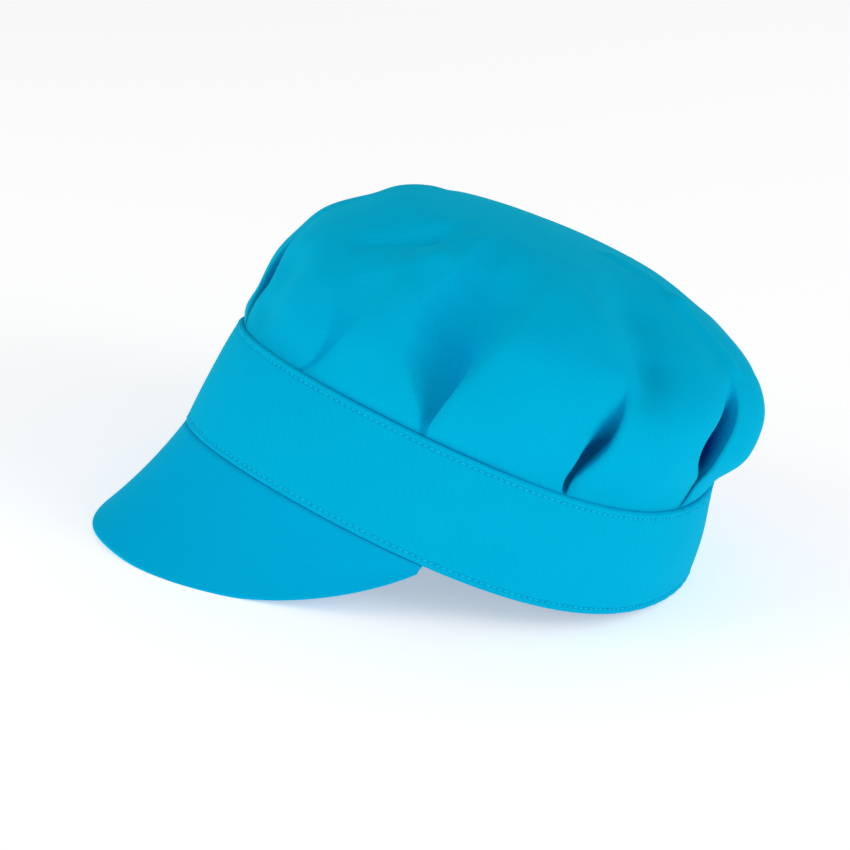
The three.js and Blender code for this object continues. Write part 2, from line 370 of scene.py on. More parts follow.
def band_relief(height, angle):
    """How far the band's face swells out, over heights (rows, 1) and angles (1, columns)."""
    middle = np.sin(height / BAND_HEIGHT * np.pi)
    relief = 0 * angle
    for swell, round_it, rise, start in FACE_SWELLS:
        relief = relief + swell * np.sin(np.radians(angle) * round_it + height / rise + start) * middle
    for row, edge in zip(STITCH_ROWS, (0, BAND_HEIGHT)):
        run, length = along_face(row, angle[0])
        phase = run / length * stitch_count(row, angle[0])
        from_hole = (np.mod(phase, 1) - 0.5) * STITCH_PITCH
        relief = relief - GROOVE_DEPTH * bump_at(height - row, GROOVE_WIDTH)
        relief = relief - HOLE_DEPTH * bump_at(height - row, HOLE_WIDTH) * bump_at(from_hole, HOLE_WIDTH)
        relief = relief + HEM_SWELL * bump_at(height - (row + edge) / 2, HEM_WIDTH)
        relief = relief + LIP_SWELL * bump_at(height - row - LIP_PLACE * (edge - row), LIP_WIDTH)
        relief = relief + PUCKER_HEIGHT * bump_at(height - row, PUCKER_WIDTH) * pucker(run, PUCKER_WAVE, row)
    return relief


half_turn = np.linspace(0, math.pi, 7)
near_edge = np.concatenate([[FOLD_RADIUS], np.linspace(1.4, 3.4, 9), [4.2, 5.5]])
middle_heights = np.linspace(8, BAND_HEIGHT - 8, 9)
outer_heights = np.concatenate([near_edge, middle_heights, BAND_HEIGHT - near_edge[::-1]])
# Each place in the section is its height over the rim and how far out of the face it lies
section = [(h, 0.0) for h in outer_heights]
for a in half_turn[1:]:
    section.append((BAND_HEIGHT - FOLD_RADIUS * (1 - math.sin(a)), -FOLD_RADIUS * (1 - math.cos(a))))
section += [(h, -BAND_WALL) for h in np.linspace(BAND_HEIGHT - 4, 4, 5)]
for a in half_turn[:-1]:
    section.append((FOLD_RADIUS * (1 - math.sin(a)), -FOLD_RADIUS * (1 + math.cos(a))))
section = np.array(section)
print(f"band section: {len(section)} places")

# %% Band mesh
angles = np.linspace(0, 360, BAND_COLUMNS + 1)[:-1]
heights, depths = section[:, :1], section[:, 1:]
swell = np.where(depths > -FOLD_RADIUS / 2, band_relief(heights, angles[None]), 0)
angle_grid = np.repeat(angles[None], len(section), axis=0)
level_grid = np.repeat(heights / BAND_HEIGHT, BAND_COLUMNS, axis=1)
band_out = band_normal(angle_grid, level_grid)
band_points = band_face(angle_grid, level_grid) + band_out * (depths + swell)[..., None]
band_points[..., 2] = np.maximum(band_points[..., 2], 0)
around = np.append(*along_face(0, angles))
section_run = np.append(0, np.cumsum(np.hypot(*np.diff(section, axis=0).T)))
band_cloth = np.stack(np.meshgrid(around, section_run), -1)
band = piece_from_grid("band", band_points, band_cloth, band_twill, join_rows=True)
print(f"band: {len(band.data.polygons)} faces, {turn_faces_out(band) / MM ** 3 / 1000:.0f} cm3 of cloth")

# %% [markdown]
# ## Rows of stitches
# A lockstitch runs along both folds of the band, in thread of the cloth's own colour. Each
# stitch is a short length of thread that dives into the cloth at both ends. Modelling
# hundreds of them by hand would be tedious, and this is what Geometry Nodes are for: a line
# of points round the band is cut into equal steps, and one stitch is set on each step,
# turned along the line and laid flat on the cloth. The same tree makes both rows.

# %% Tree for a row of stitches
OUTWARD = "outward"


def stitch_tree():
    """Sets a stitch at even steps along a closed line whose points know which way is out."""
    tree = bpy.data.node_groups.new("row_of_stitches", "GeometryNodeTree")
    socket = tree.interface.new_socket
    socket("Line", in_out="INPUT", socket_type="NodeSocketGeometry")
    socket("Count", in_out="INPUT", socket_type="NodeSocketInt")
    socket("Size", in_out="INPUT", socket_type="NodeSocketVector")
    socket("Thread", in_out="INPUT", socket_type="NodeSocketMaterial")
    socket("Stitches", in_out="OUTPUT", socket_type="NodeSocketGeometry")
    new = tree.nodes.new
    given, result = new("NodeGroupInput"), new("NodeGroupOutput")
    curve, steps = new("GeometryNodeMeshToCurve"), new("GeometryNodeResampleCurve")
    ball, place = new("GeometryNodeMeshUVSphere"), new("GeometryNodeInstanceOnPoints")
    ball.inputs["Segments"].default_value = 8
    ball.inputs["Rings"].default_value = 6
    ball.inputs["Radius"].default_value = 0.5
    keep_map = new("GeometryNodeStoreNamedAttribute")
    keep_map.data_type, keep_map.domain = "FLOAT2", "CORNER"
    keep_map.inputs["Name"].default_value = CLOTH_MAP
    small_map = new("ShaderNodeVectorMath")
    small_map.operation = "SCALE"
    small_map.inputs["Scale"].default_value = 2 * MM
    along, out = new("GeometryNodeInputTangent"), new("GeometryNodeInputNamedAttribute")
    turn = new("FunctionNodeAxesToRotation")
    out.data_type = "FLOAT_VECTOR"
    out.inputs["Name"].default_value = OUTWARD
    turn.primary_axis, turn.secondary_axis = "X", "Z"
    real, dress = new("GeometryNodeRealizeInstances"), new("GeometryNodeSetMaterial")
    link(tree, given, "Line", curve, "Mesh")
    link(tree, curve, "Curve", steps, "Curve")
    link(tree, given, "Count", steps, "Count")
    link(tree, steps, "Curve", place, "Points")
    link(tree, ball, "UV Map", small_map, 0)
    link(tree, ball, "Mesh", keep_map, "Geometry")
    link(tree, small_map, "Vector", keep_map, "Value")
    link(tree, keep_map, "Geometry", place, "Instance")
    link(tree, given, "Size", place, "Scale")
    link(tree, along, "Tangent", turn, "Primary Axis")
    link(tree, out, "Attribute", turn, "Secondary Axis")
    link(tree, turn, "Rotation", place, "Rotation")
    link(tree, place, "Instances", real, "Geometry")
    link(tree, real, "Geometry", dress, "Geometry")
    link(tree, given, "Thread", dress, "Material")
    link(tree, dress, "Geometry", result, "Stitches")
    return tree


def through_nodes(name, mesh, tree, values):
    """Runs a mesh through a tree and keeps the result as a plain mesh on a new object."""
    guide = bpy.data.objects.new(name + "_guide", mesh)
    bpy.context.scene.collection.objects.link(guide)
    nodes = guide.modifiers.new("nodes", "NODES")
    nodes.node_group = tree
    for item in tree.interface.items_tree:
        if item.in_out == "INPUT" and item.name in values:
            nodes[item.identifier] = values[item.name]
    graph = bpy.context.evaluated_depsgraph_get()
    result = bpy.data.meshes.new_from_object(guide.evaluated_get(graph), depsgraph=graph)
    guide.modifiers.remove(nodes)
    bpy.data.objects.remove(guide)
    result.name = name
    piece = bpy.data.objects.new(name, result)
    bpy.context.scene.collection.objects.link(piece)
    return piece


row_tree = stitch_tree()
print("tree for stitches:", len(row_tree.nodes), "nodes")

# %% Both rows
STITCH_SIZE = (1.75, 0.5, 0.42)
STITCH_SUNK = 0.04


def stitch_row(name, height):
    """A row of stitches round the band at a height over its lower edge."""
    ring = np.linspace(0, 360, 1441)[:-1]
    level = np.full_like(ring, height / BAND_HEIGHT)
    normals = band_normal(ring, level)
    points = (band_face(ring, level) - normals * STITCH_SUNK + shift) * MM
    mesh = bpy.data.meshes.new(name)
    mesh.from_pydata(points.tolist(), [(i, (i + 1) % len(ring)) for i in range(len(ring))], [])
    out = mesh.attributes.new(OUTWARD, "FLOAT_VECTOR", "POINT")
    out.data.foreach_set("vector", normals.astype(np.float32).ravel())
    values = {"Count": stitch_count(height, angles), "Size": Vector(STITCH_SIZE) * MM, "Thread": thread}
    return through_nodes(name, mesh, row_tree, values)


ROW_NAMES = ("lower_stitches", "upper_stitches")
stitches = [stitch_row(name, height) for name, height in zip(ROW_NAMES, STITCH_ROWS)]
for row in stitches:
    row.data.shade_smooth()
    print(f"{row.name}: {len(row.data.polygons)} faces")

# %% [markdown]
# ## The crown
# The crown is cut as one big round of cloth, wider than the band, and the extra width is
# laid into pleats at the seam. Over each pleat the fold stays closed for a little way, then
# opens into a deep pocket and fades out. A cloth simulation could drape it, but the pleats
# have to fall where the real ones do, so the crown is worked out instead. First comes a
# smooth surface through level sections. Then each pleat sinks the cloth between its lines.
#
# A pleat has three lines from the seam up. The flap is the edge of the panel that folds
# over. The valley is the bottom of the pocket under it, and the shoulder is where the next
# panel begins to slope in. Angles are in degrees and climbs are shares of the way to the top.

# %% Crown sections and pleats
SECTIONS = [
    # centre_y, height, pitch, half_length, half_width, saddle
    (9.5, 56.5, 9.5, 86.5, 90.5, 4.5),
    (17.0, 68.0, 10.5, 88.5, 95.0, 2.5),
    (21.5, 79.5, 11.0, 85.5, 95.0, 1.5),
    (23.0, 87.5, 10.5, 81.0, 91.5, 1.0),
    (24.0, 95.0, 10.5, 74.0, 83.5, 0.5),
    (23.0, 103.5, 10.5, 62.0, 70.0, 0.0),
    (21.0, 111.5, 11.5, 47.5, 53.5, 0.0),
    (18.5, 116.0, 11.5, 25.5, 33.0, 0.0),
]
CROWN_TOP = (0, 18, 118)
LINE_CLIMBS = np.array([0, 0.05, 0.15, 0.30, 0.45])
FLAP_LINES = [
    # the flap's angle at each of LINE_CLIMBS, a row for each pleat
    (-148, -147, -146, -147, -149),
    (-114, -113, -112, -114, -116),
    (-80, -80, -79, -81, -84),
    (-47, -47, -46, -48, -50),
    (-19, -25, -30, -34, -36),
    (15.0, 15.8, 17.6, 18, 15),
    (46.3, 46.0, 45.9, 49.3, 54.6),
    (78.3, 80.2, 81, 80, 80),
    (117, 119.5, 113.8, 118, 119.5),
    (147, 148, 149, 149, 148),
    (180, 181, 182, 181, 180),
]
# gap: from flap to valley high up. mouth: from valley to shoulder once it is open.
# opens, open_by: the climbs between which the mouth opens. depth: of the pocket in mm.
# deepest: where that is, as a share of reach. reach: the climb at which the pleat ends.
# under: how far the valley is pulled under the flap in mm. soft, roll: the slope's curve on
# the shoulder's side and on the flap's. belly: how far the next panel swells in mm.
# shade: how much painted shade turns the pocket a deep blue. hand: 1 where the flap is on the right, -1 on
# the left.
PLEATS = [
    # gap, mouth, opens, open_by, depth, deepest, reach, under, soft, roll, belly, shade, hand
    (3, 7, 0.00, 0.20, 6.0, 0.36, 0.42, 3, 1.3, 1.0, 1.8, 0.3, 1),
    (2, 7, 0.00, 0.18, 9.0, 0.36, 0.40, 4, 1.3, 1.0, 1.8, 0.4, 1),
    (3, 7, 0.00, 0.20, 8.0, 0.36, 0.40, 4, 1.3, 1.0, 1.8, 0.3, 1),
    (6, 8, 0.00, 0.26, 8.0, 0.34, 0.45, 4, 1.4, 1.0, 2.2, 0.2, 1),
    (1, 10, 0.00, 0.16, 17, 0.38, 0.33, 10, 1.0, 1.2, 1.2, 1.0, -1),
    (3, 12, 0.04, 0.40, 2.4, 0.40, 0.50, 1, 1.5, 1.0, 1.8, 0.0, 1),
    (16, 8.5, 0.00, 0.22, 11.5, 0.36, 0.76, 7, 1.4, 1.0, 2.4, 0.13, 1),
    (0.5, 6.4, 0.00, 0.20, 11.0, 0.33, 0.34, 6, 1.9, 1.0, 1.8, 0.34, 1),
    (1, 8.4, 0.03, 0.23, 17.5, 0.32, 0.38, 10, 1.3, 1.5, 2.8, 1.3, 1),
    (3, 7, 0.00, 0.20, 6.5, 0.36, 0.42, 3, 1.3, 1.0, 1.8, 0.3, 1),
    (3, 7, 0.00, 0.20, 6.0, 0.36, 0.42, 3, 1.3, 1.0, 1.8, 0.3, 1),
]
FOLDS = [
    # angle_1, climb_1, angle_2, climb_2, half_width, depth
    (0, 0.42, 16, 0.57, 4.5, 2.2),
    (16, 0.57, 24, 0.68, 6, 1.2),
    (87, 0.30, 90, 0.40, 8, 4.5),
    (89, 0.38, 93, 0.54, 13, 4.5),
    (92, 0.50, 102, 0.62, 15, 2.2),
    (75, 0.34, 74, 0.50, 7, -1.4),
    (120, 0.38, 121, 0.58, 4, -1.8),
    (121, 0.58, 135, 0.78, 4, -1.6),
    (12, 0.36, 24, 0.49, 6, -1.6),
    (24, 0.49, 42, 0.56, 6, -1.2),
    (52, 0.42, 66, 0.56, 8, -1.4),
    (57, 0.34, 64, 0.44, 14, -1.8),
    (-44, 0.62, -58, 0.66, 9, -1.0),
    (-36, 0.08, -39, 0.26, 13, 1.9),
    (-11, 0.10, -13, 0.22, 10, 2.6),
    (-60, 0.38, -66, 0.56, 12, 2.0),
    (-130, 0.40, -128, 0.56, 12, 2.2),
    (160, 0.40, 158, 0.58, 12, 2.0),
]
SEWN_DIP = 0.8
SEAM_INSET = BAND_WALL - 0.38
print(f"{len(SECTIONS)} sections, {len(PLEATS)} pleats and {len(FOLDS)} long folds")

# %% The smooth crown


def crown_controls(angle):
    """The points that the crown's thread at each angle goes through, from seam to top."""
    turn = np.radians(angle)
    inside = band_face(angle, 1.0) - band_normal(angle, 1.0) * SEAM_INSET
    rows = [inside]
    for centre_y, height, pitch, half_length, half_width, saddle in SECTIONS:
        forward = half_length * np.cos(turn)
        rise = height + forward * math.tan(math.radians(pitch)) + saddle * np.cos(2 * turn)
        rows.append(np.stack([half_width * np.sin(turn), centre_y - forward, rise], -1))
    rows.append(np.broadcast_to(np.array(CROWN_TOP, float), inside.shape))
    centre_y, height, pitch, half_length, half_width, saddle = SECTIONS[-1]
    forward = -half_length * np.cos(turn)
    rise = height + forward * math.tan(math.radians(pitch)) + saddle * np.cos(2 * turn)
    before = 2 * rows[0] - rows[1]
    beyond = np.stack([-half_width * np.sin(turn), centre_y - forward, rise], -1)
    return np.stack([before, *rows, beyond], -2)


SPANS = len(SECTIONS) + 1


def through(controls, t):
    """A centripetal Catmull-Rom curve through each point's controls, at t from 0 to SPANS."""
    span = np.clip(t.astype(int), 0, SPANS - 1)
    w = (t - span)[..., None]
    p0, p1, p2, p3 = (
        np.take_along_axis(controls, (span + k)[..., None, None], -2)[..., 0, :] for k in range(4))
    d0, d1, d2 = (
        np.sqrt(np.maximum(np.linalg.norm(b - a, axis=-1, keepdims=True), 1e-6))
        for a, b in ((p0, p1), (p1, p2), (p2, p3)))
    m1 = ((p1 - p0) / d0 - (p2 - p0) / (d0 + d1) + (p2 - p1) / d1) * d1
    m2 = ((p2 - p1) / d1 - (p3 - p1) / (d1 + d2) + (p3 - p2) / d2) * d1
    return p1 + m1 * w + (3 * (p2 - p1) - 2 * m1 - m2) * w ** 2 + (2 * (p1 - p2) + m1 + m2) * w ** 3


# How far along its thread each t is, as a share of the thread from seam to top
CHART_STEP = 3.0
CHART_PLACES = 181
chart_angles = np.arange(0, 361, CHART_STEP)
chart_t = np.linspace(0, SPANS, CHART_PLACES)
chart = through(
    np.repeat(crown_controls(chart_angles)[:, None], len(chart_t), 1),
    np.repeat(chart_t[None], len(chart_angles), 0))
chart_steps = np.linalg.norm(np.diff(chart, axis=1), axis=2)
run = np.concatenate([np.zeros((len(chart_angles), 1)), np.cumsum(chart_steps, axis=1)], 1)
THREAD_LENGTHS = run[:, -1]
chart_climbs = np.linspace(0, 1, CHART_PLACES)
T_OF_CLIMB = np.stack([np.interp(chart_climbs, r / r[-1], chart_t) for r in run])


def t_at(angle, climb):
    """The t of a climb: both come from the chart, read between its lines."""
    a = np.mod(angle, 360) / CHART_STEP
    c = np.clip(climb, 0, 1) * (CHART_PLACES - 1)
    i = np.minimum(a.astype(int), len(chart_angles) - 2)
    j = np.minimum(c.astype(int), CHART_PLACES - 2)
    u, v = a - i, c - j
    low = T_OF_CLIMB[i, j] * (1 - u) + T_OF_CLIMB[i + 1, j] * u
    high = T_OF_CLIMB[i, j + 1] * (1 - u) + T_OF_CLIMB[i + 1, j + 1] * u
    return low * (1 - v) + high * v


def smooth_crown(angle, climb):
    """A point on the crown before any pleat is laid in it."""
    return through(crown_controls(angle), t_at(angle, climb))


print(f"crown threads run {THREAD_LENGTHS.min():.0f} to {THREAD_LENGTHS.max():.0f} mm from seam to top")

# %% Pleat lines and pockets
# The three lines of a pleat never lie nearer than CREASE degrees
CREASE = 0.8
MOUTH_CLOSES = 0.6


def smoothstep(x, low, high):
    """0 below low, 1 above high and a smooth change between them."""
    t = np.clip((x - low) / (high - low), 0, 1)
    return t * t * (3 - 2 * t)


def line_angle(places, climb):
    """The angle of a pleat's line at a climb, on a smooth curve through its places."""
    places = np.array(places, float)
    slopes = np.gradient(places, LINE_CLIMBS)
    i = min(int(np.searchsorted(LINE_CLIMBS, climb, side="right")) - 1, len(LINE_CLIMBS) - 2)
    step = LINE_CLIMBS[i + 1] - LINE_CLIMBS[i]
    w = min((climb - LINE_CLIMBS[i]) / step, 1.0)
    return (places[i] * (1 + 2 * w) * (1 - w) ** 2 + places[i + 1] * w * w * (3 - 2 * w)
            + step * (slopes[i] * w * (1 - w) ** 2 - slopes[i + 1] * w * w * (1 - w)))


def pocket(depth, deepest, reach, climb):
    """A pleat's depth at a height: sewn flat at the seam, deepest at a share of its reach."""
    share = np.clip(climb / reach, 0, 1)
    rise = (share / deepest) ** (2 * deepest / (1 - deepest))
    return SEWN_DIP * (1 - share) ** 2 + depth * rise * ((1 - share) / (1 - deepest)) ** 2


def pleat_lines(places, pleat, climb):
    """The angles of a pleat's left line, valley and right line at a climb."""
    gap, mouth, opens, open_by = pleat[:4]
    reach, hand = pleat[6], pleat[-1]
    flap = line_angle(places, climb)
    widens = math.sin(math.pi / 2 * min(climb / LINE_CLIMBS[-1], 1)) ** 2
    valley = flap - hand * (CREASE + gap * widens)
    closing = 1 - MOUTH_CLOSES * smoothstep(climb / reach, 0.5, 1)
    shoulder = valley - hand * (CREASE + (mouth - CREASE) * smoothstep(climb, opens, open_by) * closing)
    return (shoulder, valley, flap) if hand > 0 else (flap, valley, shoulder)


first_lines = pleat_lines(FLAP_LINES[0], PLEATS[0], LINE_CLIMBS[1])
print("the first pleat's lines a little over the seam:", np.round(first_lines, 1))

# %% [markdown]
# ### From lines to cloth
# The crown's mesh is a stack of level rings with the same columns in each, so every pleat
# keeps its own columns from seam to top and the cloth can fold over itself without a tear.
# A displaced, evenly spaced ring would be simpler, but it can't turn back under a panel. In
# each ring the columns sink into the pocket, and those near its valley are pulled sideways
# under the flap.

# %% One ring of the crown
# Painted shade: a pocket's sink between these depths in mm turns into painted shade, and the pinched lower
# part of a pleat gets more of it
SHADE_FROM, SHADE_TO = 1.5, 14.5
PINCHED_SHADE, PINCHED_UP_TO, OPEN_FROM = 1.4, 0.28, 0.62
PULL_CURVE_SHOULDER, PULL_CURVE_FLAP = 3.0, 1.2
SIDE_STEPS = (np.arange(14) / 14) ** 0.85
PANEL_STEPS = np.arange(14) / 14


def crown_ring(climb):
    """A level ring of the crown: each column's angle, sink, sideways pull, belly and painted shade."""
    lines = [pleat_lines(places, pleat, climb) for places, pleat in zip(FLAP_LINES, PLEATS)]
    angles, sinks, pulls, bellies, shades = [], [], [], [], []
    for i, (pleat, (left, valley, right)) in enumerate(zip(PLEATS, lines)):
        next_left = lines[(i + 1) % len(lines)][0] + (360 if i == len(lines) - 1 else 0)
        depth, deepest, reach, under, soft, roll, belly, shade, hand = pleat[4:]
        deep = pocket(depth, deepest, reach, climb)
        pull = hand * under * deep / depth
        into, out_of = SIDE_STEPS, 1 - PANEL_STEPS
        mouth_in, flap_in = np.sin(np.pi / 2 * into) ** soft, into ** roll
        mouth_out, flap_out = np.sin(np.pi / 2 * out_of) ** soft, out_of ** roll
        pinch = 1 - smoothstep(climb / reach, PINCHED_UP_TO, OPEN_FROM)
        pinched = shade * (1 + PINCHED_SHADE * pinch)
        curves = (PULL_CURVE_SHOULDER, PULL_CURVE_FLAP)
        first, second = (mouth_in, flap_out) if hand > 0 else (flap_in, mouth_out)
        curve_in, curve_out = curves if hand > 0 else curves[::-1]
        angles.append(left + (valley - left) * into)
        sinks.append(deep * first)
        pulls.append(pull * into ** curve_in)
        angles.append(valley + (right - valley) * PANEL_STEPS)
        sinks.append(deep * second)
        pulls.append(pull * out_of ** curve_out)
        angles.append(right + (next_left - right) * PANEL_STEPS)
        sinks.append(0 * PANEL_STEPS)
        pulls.append(0 * PANEL_STEPS)
        bellies += [0 * SIDE_STEPS, 0 * SIDE_STEPS, belly * np.sin(np.pi * PANEL_STEPS)]
        # Painted shade grows with each column's sink, and more in the pleat's pinched part
        shades += [pinched * (row - SHADE_FROM) / (SHADE_TO - SHADE_FROM) for row in sinks[-3:]]
    return [np.concatenate(row) for row in (angles, sinks, pulls, bellies, shades)]


print("columns in a ring of the crown:", len(crown_ring(0)[0]))

# %% [markdown]
# ### Long folds
# Soft cloth with room to spare lies in long shallow folds between its pleats. They could be
# sculpted by hand, but a table of straight lines on the cloth, each with a width and a
# depth, can be read and changed. A few slow waves keep the rest from looking machined.

# %% Long folds and waves
MM_IN_A_DEGREE = 1.45


def fold_relief(angle, climb):
    """The long soft folds and ridges: each is a swell along a straight line on the cloth."""
    relief = 0 * angle
    length = np.interp(np.mod(angle, 360), chart_angles, THREAD_LENGTHS)
    for angle_1, climb_1, angle_2, climb_2, half_width, depth in FOLDS:
        wide = MM_IN_A_DEGREE * np.cos(np.pi / 2 * np.clip(climb - 0.25, 0, 1) ** 1.5)
        x = (np.mod(angle - angle_1 + 180, 360) - 180) * wide
        y = (climb - climb_1) * length
        run_x, run_y = (angle_2 - angle_1) * wide, (climb_2 - climb_1) * length
        share = np.clip((x * run_x + y * run_y) / (run_x ** 2 + run_y ** 2), 0, 1)
        away = np.hypot(x - share * run_x, y - share * run_y) / half_width
        relief -= depth * np.exp(-away ** 2)
    return relief


def cloth_waves(angle, climb):
    """The small unevenness of soft cloth."""
    x, y = np.radians(angle), climb * 9
    waves = np.sin(5 * x + 1.3 * y + 0.5) * np.sin(2.1 * y + 0.4 + np.sin(3 * x))
    waves = waves + 0.6 * np.sin(11 * x - 1.9 * y + 2.0) * np.sin(1.7 * y + 1.1)
    return waves + 0.3 * np.sin(23 * x + 2.7 * y) * np.sin(3.3 * y + 0.7)


look_angles, look_climbs = np.meshgrid(np.arange(0, 360, 2.0), np.linspace(0, 1, 50))
print(f"the long folds go {-fold_relief(look_angles, look_climbs).min():.1f} mm deep")

# %% Crown mesh
CROWN_ROWS = 104
BELLY_AT, BELLY_FADES, BELLY_GONE = 0.18, 0.35, 0.7
WAVES_LOW, WAVES_LESS = 0.35, 0.28
MEAN_THREAD = 130


def crown_surface():
    """The crown's outer side as rows of points from its seam up to its top."""
    climbs = np.linspace(0, 1, CROWN_ROWS + 1)[:-1] ** 1.25
    rings = [crown_ring(climb) for climb in climbs]
    angle, sink, pull, belly, shade = (np.array(rows) for rows in zip(*rings))
    climb = np.repeat(climbs[:, None], angle.shape[1], 1)
    rise = climb / BELLY_AT
    offset = belly * rise * np.exp(1 - rise) * (1 - smoothstep(climb, BELLY_FADES, BELLY_GONE)) - sink
    quiet = smoothstep(climb, 0, 0.1) * (1 - smoothstep(climb, 0.85, 1.0))
    uneven = cloth_waves(angle, climb) * (WAVES_LOW - WAVES_LESS * smoothstep(climb, 0.35, 0.6))
    offset += (fold_relief(angle, climb) + uneven) * quiet
    normal = square_to(smooth_crown, angle, climb, 0.5, 0.005)
    sideways = unit(smooth_crown(angle + 0.5, climb) - smooth_crown(angle - 0.5, climb))
    point = smooth_crown(angle, climb) + normal * offset[..., None] + sideways * pull[..., None]
    length = np.interp(np.mod(angle, 360), chart_angles, THREAD_LENGTHS)
    radius = (1 - climb) * length
    cloth = np.stack([radius * np.sin(np.radians(angle)), radius * np.cos(np.radians(angle))], -1)
    # The last is each point's painted shade, kept between 0 and 1
    return angle, point, cloth, np.clip(shade, 0, 1)


crown_angles, crown_points, crown_cloth, crown_painted_shade = crown_surface()
# The seam allowance goes down inside the band, out of sight
HIDDEN_ROWS = [
    # drop below the seam, way in from the band's outer face
    (SEAM_ALLOWANCE, BAND_WALL + SEWN_GAP),
    (SEAM_ALLOWANCE * 0.5, BAND_WALL + SEWN_GAP),
    (FOLD_RADIUS, BAND_WALL + 0.12),
]
seam_angles = crown_angles[0]
hidden = np.stack([
    band_face(seam_angles, 1 - drop / BAND_HEIGHT) - band_normal(seam_angles, 1 - drop / BAND_HEIGHT) * way_in
    for drop, way_in in HIDDEN_ROWS])
hidden_cloth = np.stack([crown_cloth[0] * (1 + drop / MEAN_THREAD) for drop, way_in in HIDDEN_ROWS])
crown_points = np.concatenate([hidden, crown_points])
# The hidden rows get no painted shade
crown_painted_shade = np.concatenate([np.zeros((len(hidden), crown_painted_shade.shape[1])), crown_painted_shade])
crown_cloth = np.concatenate([hidden_cloth, crown_cloth])
crown_cloth = np.concatenate([crown_cloth, crown_cloth[:, :1]], 1)
crown = piece_from_grid("crown", crown_points, crown_cloth, crown_twill, cap="top", depth=crown_painted_shade)
wall = crown.modifiers.new("wall", "SOLIDIFY")
wall.thickness = CROWN_WALL * MM
wall.offset = -1
print(f"crown: {len(crown.data.polygons)} faces on its outer side")

# %% [markdown]
# ## The peak
# The peak is a board covered in the same cloth. It starts inside the band's rim, comes out
# straight ahead and falls away, and its outer edge is a soft roll where the cloth turns
# over the board. Sections across it, each a thin loop with a round nose, are joined side
# by side into one closed piece.

# %% Peak
PEAK = dict(reach=58.3, depth=46.9, roundness=2.82, fullness=1.2, end_depth=1.2,
            slope_at_seam=56.5, slope_at_tip=39.5)
PEAK_COLUMNS = 150
PEAK_ROWS = 40
PEAK_ENDS = 0.995
NOSE = 0.9
PEAK_DROP = 0.12
RIM_CLEARANCE = 0.02
SLOPE_STEPS = 12


def peak_face(across, along):
    """The peak's upper side: across is -1 to 1, along is 0 at the seam to 1 at the tip."""
    point = edge_point(RIM, across * PEAK["reach"])
    span = np.maximum(0, 1 - np.abs(across) ** PEAK["roundness"]) ** (1 / PEAK["fullness"])
    depth = PEAK["end_depth"] + PEAK["depth"] * span
    steeper = PEAK["slope_at_tip"] - PEAK["slope_at_seam"]
    for i in range(SLOPE_STEPS):
        slope = np.radians(PEAK["slope_at_seam"] + steeper * along * (i + 0.5) / SLOPE_STEPS)
        ahead = np.stack([0 * slope, np.cos(slope), np.sin(slope)], -1)
        point = point - ahead * (along * depth / SLOPE_STEPS)[..., None]
    return point - np.array([0, 0, PEAK_DROP])


across_line = -np.cos(np.linspace(0, math.pi, PEAK_COLUMNS)) * PEAK_ENDS
along_line = np.linspace(0, 1 - NOSE / PEAK["depth"], PEAK_ROWS) ** 0.9
across, along = np.meshgrid(across_line, along_line, indexing="ij")
top = peak_face(across, along)
out = -square_to(peak_face, across, along, 0.003, 0.01)
thick = NOSE * 2 + (PEAK_WALL - NOSE * 2) * (1 - np.abs(across) ** 6) * (1 - along ** 5)
under = top - out * thick[..., None]
print(f"peak: {thick.max():.1f} mm thick, {thick.min():.1f} mm at its rim")

# %% Peak mesh
# The covered board runs on a little way under the band, so that no light shows at the seam
seam_angle = across[:, 0] * PEAK["reach"]
inwards = -band_normal(seam_angle, np.zeros_like(seam_angle))
lift = np.array([0, 0, PEAK_DROP - RIM_CLEARANCE])
tucked_top = [top[:, 0] + inwards * step + lift for step in (2.4, 1.4, 0.7)]
tucked_under = [under[:, 0] + inwards * step for step in (1.0, 2.4)]

nose = []
for a in np.linspace(0, math.pi, 9)[1:-1]:
    edge_top, edge_under = top[:, -1], under[:, -1]
    ahead = unit(top[:, -1] - top[:, -3])
    half = (edge_top - edge_under) / 2
    reach = np.linalg.norm(half, axis=1, keepdims=True) * math.sin(a)
    nose.append((edge_top + edge_under) / 2 + half * math.cos(a) + ahead * reach)
loops = np.concatenate([
    np.stack(tucked_top, 1), top, np.stack(nose, 1), under[:, ::-1], np.stack(tucked_under, 1)], 1)
loops[..., 2] = np.maximum(loops[..., 2], 0)
sideways = np.append(0, np.cumsum(np.linalg.norm(np.diff(top[:, 0], axis=0), axis=1)))
middle = loops[PEAK_COLUMNS // 2]
forwards = np.append(0, np.cumsum(np.linalg.norm(np.diff(middle, axis=0), axis=1)))
forwards = np.append(forwards, forwards[-1] + np.linalg.norm(middle[0] - middle[-1]))
peak_cloth = np.stack(np.meshgrid(sideways, forwards, indexing="ij"), -1)
peak = piece_from_grid("peak", loops, peak_cloth, peak_twill, cap="ends")
print(f"peak: {len(peak.data.polygons)} faces, {turn_faces_out(peak) / MM ** 3 / 1000:.0f} cm3")

# %% [markdown]
# ## Floor and light
# The cap stands on a plain pale floor under soft light. One big lamp would leave the far side
# dark, so wide lamps to the left and right of the camera light its sides more than its top,
# as in a small studio with a light tent. The floor glows a little, to stay near white.

